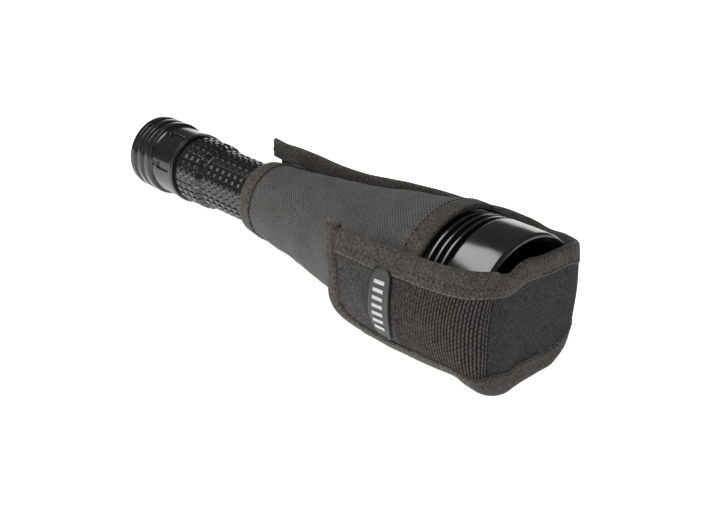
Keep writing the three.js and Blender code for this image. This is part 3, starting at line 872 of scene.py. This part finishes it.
def build_sleeve():
    x = np.linspace(SLEEVE_START_X + 1.5, SLEEVE_END_X - 1.5, 150)
    side = np.linspace(-1.0, 1.0, 140)
    sleeve = sheet_piece("twill_sleeve", TWILL, sleeve_surface, sleeve_uv, x, side, 0.0, -CLOTH)
    place(sleeve, "holster", "twill", "sleeve")
    around = np.linspace(-1.0, 1.0, 150)
    section = [(a, d - 0.75) for a, d in tape_section(MOUTH_TAPE, 1.35)]
    for end, edge_x, step in (("tail", SLEEVE_START_X, 1.0), ("head", SLEEVE_END_X, -1.0)):
        edge = np.stack([np.full(len(around), edge_x), around], axis=-1)
        inward = np.tile([step, 0.0], (len(around), 1))
        tape = tape_piece(f"{end}_mouth_tape", sleeve_surface, sleeve_uv, edge, inward, section)
        place(tape, "holster", "binding_tape", f"sleeve_{end}_binding")
        line = edge + inward * (MOUTH_TAPE - 0.6)
        row = stitches(f"{end}_mouth_tape_stitching", THREAD, sleeve_surface, line, 0.62, radius=0.34)
        place(row, "holster", "binding_tape")


# The holster's band, as samples along its length

def run_along(points):
    """The distance from the first point to each point of a line."""
    return np.concatenate([[0.0], np.cumsum(np.linalg.norm(np.diff(points, axis=0), axis=1))])


def smooth_line(rows, run, tangent, at):
    """Places on a smooth line through rows, which lie at run and have the given tangents."""
    i = np.clip(np.searchsorted(run, at) - 1, 0, len(run) - 2)
    span = (run[i + 1] - run[i])[..., None]
    t = (at - run[i])[..., None] / span
    leaving = (2 * t ** 3 - 3 * t ** 2 + 1) * rows[i] + (t ** 3 - 2 * t ** 2 + t) * span * tangent[i]
    arriving = (-2 * t ** 3 + 3 * t ** 2) * rows[i + 1] + (t ** 3 - t ** 2) * span * tangent[i + 1]
    return leaving + arriving


def band_line():
    """Dense samples of every column of BAND along the band's length."""
    rows = np.array(BAND)
    chord = run_along(rows[:, :2])
    dense = np.linspace(0.0, chord[-1], 2400)
    values = smooth_line(rows, chord, np.gradient(rows, chord, axis=0), dense)
    run = run_along(values[:, :2])
    return run, values, np.interp(chord, dense, run)


BAND_RUN, BAND_VALUES, ROW_RUN = band_line()
BAND_LENGTH = BAND_RUN[-1]
LOWER_END = BAND_LENGTH - 6.5
BAND_HEADING = np.gradient(BAND_VALUES[:, :2], BAND_RUN, axis=0)
BAND_HEADING /= np.linalg.norm(BAND_HEADING, axis=1)[:, None]


def band_column(s, column):
    return np.interp(s, BAND_RUN, BAND_VALUES[:, column])


def band_bottom(s):
    """The lower edge, which rounds up into the free end."""
    into = np.clip(s - (LOWER_END - FREE_CORNER_R), 0.0, FREE_CORNER_R - 0.01)
    return band_column(s, 2) + FREE_CORNER_R - np.sqrt(FREE_CORNER_R ** 2 - into ** 2)


def band_top(s):
    return band_column(s, 3)


def band_surface(s, z, offset):
    """A point of the band: s along it, z its height at that place, offset away from the light."""
    x, y = band_column(s, 0), band_column(s, 1)
    curl = np.where(z < 0.0, band_column(s, 4), band_column(s, 5))
    heading_x, heading_y = (np.interp(s, BAND_RUN, BAND_HEADING[:, k]) for k in (0, 1))
    length = np.hypot(heading_x, heading_y)
    bend = np.maximum(np.abs(y), 36.0)
    hug = curl * (bend - np.sqrt(np.maximum(bend ** 2 - z ** 2, 1.0)))
    soft = 0.35 * ripple(s, z, 21, 55.0) + 0.15 * ripple(s, z, 22, 16.0)
    out = offset + soft
    drawn_in = y + heading_x / length * out - np.sign(y) * hug
    return np.stack([x - heading_y / length * out, drawn_in, z + 0.0 * out], axis=-1)


def band_uv(s, z):
    return np.stack([s + 0.0 * z, z + 0.0 * s], axis=-1)


def band_sheet(name, material, start, end, outer, inner, step=1.5, surface=band_surface):
    """A length of the band's cloth, trimmed a little inside the edges that its tapes cover."""
    trim = 0.6
    s = np.linspace(start, end, max(int((end - start) / step), 4))

    def height(along, share):
        low, high = band_bottom(along) + trim, band_top(along) - trim
        return low + (high - low) * share

    def by_share(along, share, offset):
        return surface(along, height(along, share), offset)

    def uv(along, share):
        return band_uv(along, height(along, share))

    return sheet_piece(name, material, by_share, uv, s, np.linspace(0.0, 1.0, 44), outer, inner)


def edge_line(start, end, edge):
    s = np.linspace(start, end, max(int((end - start) / 1.5), 4))
    return np.stack([s, edge(s)], axis=-1)


def free_end_line():
    """From the middle of the end panel along the lower edge, round the free corner and up the end,
    which leans out towards its top."""
    straight = edge_line(MID_END, LOWER_END - FREE_CORNER_R, band_bottom)
    centre = (LOWER_END - FREE_CORNER_R, float(band_column(LOWER_END, 2)) + FREE_CORNER_R)
    arc = [(centre[0] + FREE_CORNER_R * math.sin(a), centre[1] - FREE_CORNER_R * math.cos(a))
           for a in np.linspace(0.0, math.pi / 2.0, 18)[1:]]
    height = np.linspace(centre[1], float(band_top(BAND_LENGTH)) + 1.0, 26)[1:]
    lean = (BAND_LENGTH - LOWER_END) * smoothstep(-4.0, 28.0, height)
    return np.concatenate([straight, arc, np.stack([LOWER_END + lean, height], axis=-1)])


def inward_of(line, left=True):
    """The unit step into the cloth at each place of an edge line: to its left or to its right."""
    step = np.gradient(line, axis=0)
    step /= np.linalg.norm(step, axis=1)[:, None]
    return np.stack([-step[:, 1], step[:, 0]], axis=-1) * (1.0 if left else -1.0)


MID_END = ROW_RUN[MID_END_ROW]
NEAR_CORNER = ROW_RUN[NEAR_CORNER_ROW]
BELT_SIDE_START = 7.0
ELASTIC_START = NEAR_CORNER + 0.5
ELASTIC_END = ROW_RUN[ELASTIC_END_ROW]
INSERT_START = ELASTIC_START - 6.0
END_SIDE_END = ELASTIC_START - 5.8
FAR_FOLD = (world_point(294.0, 40.6, 0.0), world_point(300.0, 34.0, 0.0))
NEAR_FOLD = (world_point(300.4, -30.0, 0.0), world_point(296.0, -37.6, 0.0))


def far_blend(piece, slot, *nodes):
    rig.blend(piece, "holster", "flap_end", *FAR_FOLD)
    finish_piece(piece, slot, *nodes)


def near_blend(piece, slot, *nodes):
    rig.blend(piece, "flap_end", "flap_front", *NEAR_FOLD)
    finish_piece(piece, slot, *nodes)


def elastic_surface(s, z, offset):
    """The band with the elastic's ribs standing out of its outer face."""
    strength = 0.08 + 0.27 * smoothstep(ELASTIC_END, ELASTIC_START + 14.0, s)
    fade = smoothstep(INSERT_START, ELASTIC_START + 2.0, s)
    rib = np.abs(np.sin(math.pi * s / RIB_PITCH)) ** 0.7
    return band_surface(s, z, offset + np.where(offset > 0.0, strength * fade * rib, 0.0))


def band_tape(name, line, inward, section):
    return tape_piece(name, band_surface, band_uv, line, inward, section)


def build_band():
    """The band's four lengths of cloth, then its edge tapes and the stitching along them."""
    back_faces, front_faces = (1.2, -0.84), (0.9, -0.8)
    # The belt side and the end side take the darker copy of the web weave: painted shade.
    back = band_sheet("band_belt_side", SHADED_WEB, BELT_SIDE_START, MID_END, *back_faces)
    far_blend(back, "web_weave", "back_panel", "flap_end_panel")
    furrow_shade = elastic(ELASTIC_START, ELASTIC_END)
    insert = band_sheet("elastic_panel", furrow_shade, INSERT_START, ELASTIC_END, *front_faces, 0.3, elastic_surface)
    near_blend(insert, "elastic_weave", "elastic_insert")
    near_blend(band_sheet("band_end_side", SHADED_WEB, MID_END, END_SIDE_END, *back_faces), "web_weave")
    front = band_sheet("band_flap_side", WEB, ELASTIC_END - 0.4, LOWER_END - 1.0, *front_faces)
    near_blend(front, "web_weave", "flap_front_panel")

    wide = tape_section(EDGE_TAPE, 1.55)
    for name, edge, left in (("upper", band_top, False), ("lower", band_bottom, True)):
        line = edge_line(0.0, MID_END, edge)
        inward = inward_of(line, left)
        tape = band_tape(f"belt_side_{name}_tape", line, inward, wide)
        far_blend(tape, "binding_tape", f"back_{name}_binding", f"flap_end_{name}_binding")
        line = line + inward * (EDGE_TAPE - 1.6)
        row = stitches(f"belt_side_{name}_stitching", THREAD, band_surface, line, 1.6)
        far_blend(row, "binding_tape")

    upper = edge_line(MID_END, BAND_LENGTH - 2.0, band_top)
    down = inward_of(upper, False)
    near_blend(band_tape("flap_upper_tape", upper, down, wide), "binding_tape", "flap_upper_binding")
    lower = free_end_line()
    wider = 1.0 + 0.45 * smoothstep(NEAR_CORNER + 6.0, NEAR_CORNER - 8.0, lower[:, :1])
    inward = inward_of(lower) * wider
    tape = band_tape("flap_lower_tape", lower, inward, tape_section(LOWER_TAPE, 1.9))
    near_blend(tape, "binding_tape", "flap_lower_binding", "flap_free_end_binding")
    for name, line, offset, material, sizes in (
        ("flap_upper_stitching", upper + down * (EDGE_TAPE - 0.7), 1.45, PALE_THREAD, {"radius": 0.24}),
        ("flap_upper_second_row", upper + down * (EDGE_TAPE - 4.2), 1.62, THREAD, {"length": 1.8}),
        ("flap_lower_stitching", lower + inward * (LOWER_TAPE - 1.1), 1.85, THREAD, {}),
    ):
        near_blend(stitches(name, material, band_surface, line, offset, **sizes), "binding_tape")


def fray(name, bases, heading, body, seed):
    """Loose thread ends that stand out of the cut end of a tape, one from each base point."""
    random = np.random.default_rng(seed)
    all_points, all_faces = [], []
    turn = circle(5)
    rim = np.stack([np.cos(turn), np.sin(turn), np.sin(turn + 1.0)], axis=-1)
    for base in bases:
        drift = random.normal(0.0, 0.35, 3)
        length = random.uniform(1.0, 2.6)
        radius = random.uniform(0.14, 0.24)
        rings = []
        for share in (0.0, 0.4, 0.75, 1.0):
            middle = base + (np.array(heading) * share + drift * share ** 2) * length
            rings.append(middle + rim * radius * (1.0 - 0.6 * share))
        add_rod(all_points, all_faces, rings)
    place(make_piece(name, np.array(all_points), all_faces, PALE_THREAD, crease=80.0), body, "binding_tape")


def build_frays():
    """The two tape ends that are cut and left raw: the belt side's tail end and the flap's free corner."""
    random = np.random.default_rng(31)
    z = random.uniform(band_top(0.0) - 9.0, band_top(0.0), 26)
    cut = band_surface(0.0 * z, z, random.uniform(-1.2, 1.2, 26))
    fray("belt_side_fray", cut, (-1, 0, 0.4), "holster", 32)
    s = BAND_LENGTH - random.uniform(0.0, 8.0, 30)
    cut = band_surface(s, band_top(s) + 0.8, random.uniform(-1.5, 1.5, 30))
    fray("free_corner_fray", cut, (-0.2, 0, 1), "flap_front", 33)


def build_badge():
    """A raised oval of rubber with a rim, a sunk grey face and plain bars."""
    middle_s, middle_z, half_s, half_z = LOWER_END - 38.5, -1.0, 7.6, 19.6
    base, face = 0.6, 0.86
    rings = [
        (0, 1.8), (face - 0.04, 1.8), (face, 1.9), (face + 0.03, 2.3), (0.93, 2.5), (0.97, 2.4),
        (0.99, 2), (1, 1.5), (1, base), (0.75, base), (0.5, base), (0.25, base), (0, base),
    ]
    turns = 72
    angle = circle(turns)
    long_way = np.sign(np.cos(angle)) * np.abs(np.cos(angle)) ** 0.5
    tall_way = np.sign(np.sin(angle)) * np.abs(np.sin(angle)) ** 0.75

    def oval(share, offset):
        rim = half_z - (1.0 - share) * half_s if share > 0.5 else half_z * share
        s = middle_s + half_s * share * long_way
        return band_surface(s, middle_z + rim * tall_way, offset + 0.0 * angle)

    def ovals(places):
        return np.stack([oval(share, offset) for share, offset in places], axis=1).reshape(-1, 3)

    faces = grid_faces(turns, len(rings), wrap_columns=True)
    badge = make_piece("badge_oval", ovals(rings), faces, BADGE_RUBBER, crease=50.0)
    place(badge, "flap_front", "badge_rubber", "badge")
    shares = (0.0, 0.25, 0.5, face - 0.02)
    rows, count = len(shares), len(shares) * turns
    inlay = np.concatenate([ovals([(share, offset) for share in shares]) for offset in (1.92, 1.5)])
    faces = grid_faces(turns, rows, wrap_columns=True)
    faces += grid_faces(turns, rows, offset=count, wrap_columns=True)
    for i in range(turns):
        a, b = (i + 1) * rows - 1, ((i + 1) % turns + 1) * rows - 1
        faces.append((a, b, count + b, count + a))
    place(make_piece("badge_inlay", inlay, faces, BADGE_FACE), "flap_front", "badge_rubber")
    bar_half_s, bar_half_z = 3.2, 0.85
    s = np.linspace(middle_s - bar_half_s, middle_s + bar_half_s, 6)
    for number, bar_z in enumerate(middle_z + np.linspace(-12.5, 12.5, 7), start=1):
        z = np.linspace(bar_z - bar_half_z, bar_z + bar_half_z, 3)
        bar = sheet_piece(f"badge_bar_{number}", BADGE_MARK, band_surface, band_uv, s, z, 2.3, 1.8)
        place(bar, "flap_front", "badge_rubber")


def build_patches():
    x, side = np.linspace(206.0, 221.0, 12), np.linspace(-0.13, 0.13, 14)
    loop = sheet_piece("loop_pile", FLUFF, sleeve_surface, sleeve_uv, x, side, 1.1, 0.1)
    place(loop, "holster", "hook_and_loop", "loop_patch")
    s, z = np.linspace(LOWER_END - 18.0, LOWER_END - 3.0, 12), np.linspace(-9.0, 9.0, 14)
    hook = sheet_piece("hook_pile", FLUFF, band_surface, band_uv, s, z, -0.8, -2.2)
    place(hook, "flap_front", "hook_and_loop", "hook_patch")


# The belt loop: a webbing strap on the belt side, sewn down at both ends

LOOP_LENGTH, LOOP_BOTTOM, LOOP_TOP = 115.0, -15.0, 10.0
LOOP_LINE = [
    (112, 28.2), (120, 29), (126, 33.8), (133, 38.6), (164, 45.2), (194, 51.2), (199, 49.4),
    (205, 44.6), (214, 45.9),
]


def build_belt_loop():
    rows = np.array(LOOP_LINE)
    chord = run_along(rows)
    tangent = np.gradient(rows, chord, axis=0)

    def beside(line, slope, z, offset):
        step = offset / np.maximum(np.linalg.norm(slope, axis=-1), 1e-9)
        x, y = line[..., 0] - slope[..., 1] * step, line[..., 1] + slope[..., 0] * step
        return np.stack([x, y, z], axis=-1)

    def surface(s, z, offset):
        line = smooth_line(rows, chord, tangent, s)
        return beside(line, np.gradient(line, axis=0), z, offset)

    def seam(s, z, offset):
        line, slope = (np.stack([np.interp(s, chord, table[:, k]) for k in (0, 1)], axis=-1)
                       for table in (rows, tangent))
        return beside(line, slope, z, offset)

    s, z = np.linspace(0.0, chord[-1], 90), np.linspace(LOOP_BOTTOM, LOOP_TOP, 18)
    loop = sheet_piece("belt_loop_strap", WEB, surface, band_uv, s, z, 0.9, -0.9)
    place(loop, "holster", "web_weave", "belt_loop")
    bottom, top = LOOP_BOTTOM + 1.5, LOOP_TOP - 1.5
    for name, low, high in (("tail", 1.2, 8.0), ("head", chord[-1] - 8.0, chord[-1] - 1.2)):
        box = [(low, bottom), (high, bottom), (high, top), (low, top), (low, bottom)]
        line = np.concatenate([np.linspace(a, b, 30) for a, b in zip(box[:-1], box[1:])])
        row = stitches(f"belt_loop_{name}_stitching", THREAD, seam, line, 0.95)
        place(row, "holster", "web_weave")


def sewn(*stems):
    """The names of tapes and of the rows of stitching that hold them."""
    return [stem + kind for stem in stems for kind in ("tape", "stitching")]


def declare_sheets():
    """Every piece of cloth, with its flat size in metres and the tapes and rows sewn on it."""
    def named(*names):
        return [bpy.data.objects[name] for name in names]

    def width(start, end):
        s = np.linspace(start, end, 40)
        return float(np.mean(band_top(s) - band_bottom(s))) * MM

    x = np.linspace(SLEEVE_START_X, SLEEVE_END_X, 60)
    girths = sleeve_section(x, 1.0 + 0.0 * x)[2] + sleeve_section(x, -1.0 + 0.0 * x)[2]
    sleeve_length = (SLEEVE_END_X - SLEEVE_START_X) * MM
    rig.sheet(
        *named("twill_sleeve"), flat=(float(girths.max()) * MM, sleeve_length), held="stretched",
        rests_on=["finned_head"], area=float(girths.mean()) * MM * sleeve_length,
        with_pieces=named("tail_mouth_tape", "tail_mouth_tape_stitching",
                          "head_mouth_tape", "head_mouth_tape_stitching", "loop_pile"),
    )
    belt_side = sewn("belt_side_upper_", "belt_side_lower_") + ["belt_side_fray"]
    flap = sewn("flap_upper_", "flap_lower_") + ["flap_upper_second_row", "hook_pile", "free_corner_fray"]
    for name, start, end, sewn_on in (
        ("band_belt_side", BELT_SIDE_START, MID_END, belt_side),
        ("band_end_side", MID_END, END_SIDE_END, []),
        ("elastic_panel", INSERT_START, ELASTIC_END, []),
        ("band_flap_side", ELASTIC_END, LOWER_END, flap),
    ):
        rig.sheet(*named(name), flat=(width(start, end), (end - start) * MM), held="folded",
                 rests_on=["twill_sleeve", "bezel"], with_pieces=named(*sewn_on))
    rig.sheet(
        *named("belt_loop_strap"), flat=((LOOP_TOP - LOOP_BOTTOM) * MM, LOOP_LENGTH * MM), held="stretched",
        rests_on=["band_belt_side"],
        with_pieces=named("belt_loop_tail_stitching", "belt_loop_head_stitching"),
    )


def dress_cad_nodes():
    """Materials for the CAD nodes that stay: the inner parts, which are seen when the light is opened."""
    looks = (
        (CELL_WRAP, "battery_cell_1", "battery_cell_2", "battery_cell_3"),
        (STEEL, "tail_spring", "driver_spring"),
        (BRASS, "switch_retaining_ring"),
        (RUBBER, "lens_seal"),
        (PLASTIC, "switch_plunger", "switch_module", "driver_inductor", "led_lead_negative"),
        (WIRE_RED, "led_lead_positive"),
        (BOARD, "tail_contact_board", "driver_board"),
        (LED_BOARD, "led_board"),
        (GLASS, "lens"),
    )
    for material, *names in looks:
        for name in names:
            for slot in frame["nodes"][name].material_slots:
                slot.material = material


# Stage, light and camera

def build_stage():
    mesh = bpy.data.meshes.new("floor")
    reach, level = 4.0, -0.0003
    corners = [(reach * x, reach * y, level) for x, y in ((-1, -1), (1, -1), (1, 1), (-1, 1))]
    mesh.from_pydata(corners, [], [(0, 1, 2, 3)])
    floor = bpy.data.objects.new("floor", mesh)
    bpy.context.scene.collection.objects.link(floor)
    finish = Finish("pale_floor", (0.86, 0.86, 0.86), 0.9, specular=0.1)
    finish.set(Emission_Color=(1.0, 1.0, 1.0, 1.0), Emission_Strength=0.9)
    mesh.materials.append(finish.material)
    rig.stage(floor)


# Each lamp: where it is, where it points, its two sizes and its power, in metres and watts
LAMPS = {
    "left_card": ((-0.46, -0.37, 0.9), (0.1, 0.0, 0.03), (0.9, 0.45), 7.6),
    "near_card": ((-0.1, -1.2, 0.6), (0.0, 0.0, 0.03), (0.7, 0.5), 0.7),
    "front_card": ((0.84, -0.72, 0.6), (-0.05, 0.0, 0.03), (0.26, 0.9), 2.6),
    "far_card": ((-0.9, 1.0, 0.12), (0.1, 0.0, 0.03), (1.2, 0.3), 1.5),
}


def build_lights():
    world = bpy.data.worlds.new("studio")
    world.use_nodes = True
    sky = world.node_tree.nodes["Background"].inputs
    sky[0].default_value = (1.0, 1.0, 1.0, 1.0)
    sky[1].default_value = 0.12
    bpy.context.scene.world = world
    for name, (position, target, sizes, power) in LAMPS.items():
        data = bpy.data.lights.new(name, "AREA")
        data.shape = "RECTANGLE"
        data.size, data.size_y = sizes
        data.energy = power
        lamp = bpy.data.objects.new(name, data)
        lamp.location = position
        lamp.rotation_euler = (Vector(target) - Vector(position)).to_track_quat("-Z", "Y").to_euler()
        bpy.context.scene.collection.objects.link(lamp)


CAMERA_PLACE = (605.1, -410.8, 277.2)
CAMERA_AZIMUTH = 45.987
CAMERA_ELEVATION = 26.32
CAMERA_LENS = 61.13


def build_camera():
    azimuth, elevation = math.radians(CAMERA_AZIMUTH), math.radians(CAMERA_ELEVATION)
    level = math.cos(elevation)
    back = Vector((math.sin(azimuth) * level, -math.cos(azimuth) * level, math.sin(elevation)))
    right = Vector((math.cos(azimuth), math.sin(azimuth), 0.0))
    axes = Matrix((right, back.cross(right), back)).transposed()
    data = bpy.data.cameras.new("camera")
    data.lens = CAMERA_LENS
    data.clip_start = 0.01
    camera = bpy.data.objects.new("camera", data)
    camera.matrix_world = Matrix.Translation(world_point(*CAMERA_PLACE)) @ (TURNING @ axes).to_4x4()
    bpy.context.scene.collection.objects.link(camera)
    bpy.context.scene.camera = camera


build_camera()
build_light()
build_sleeve()
build_band()
build_badge()
build_patches()
build_belt_loop()
build_frays()
declare_sheets()
dress_cad_nodes()
build_stage()
build_lights()
bpy.context.scene.view_settings.view_transform = "Standard"

sizes = {"cad": [list(corner) for corner in cad_box], "visual": [list(corner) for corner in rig.bounds()]}
with open("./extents.json", "w") as size_file:
    json.dump(sizes, size_file)
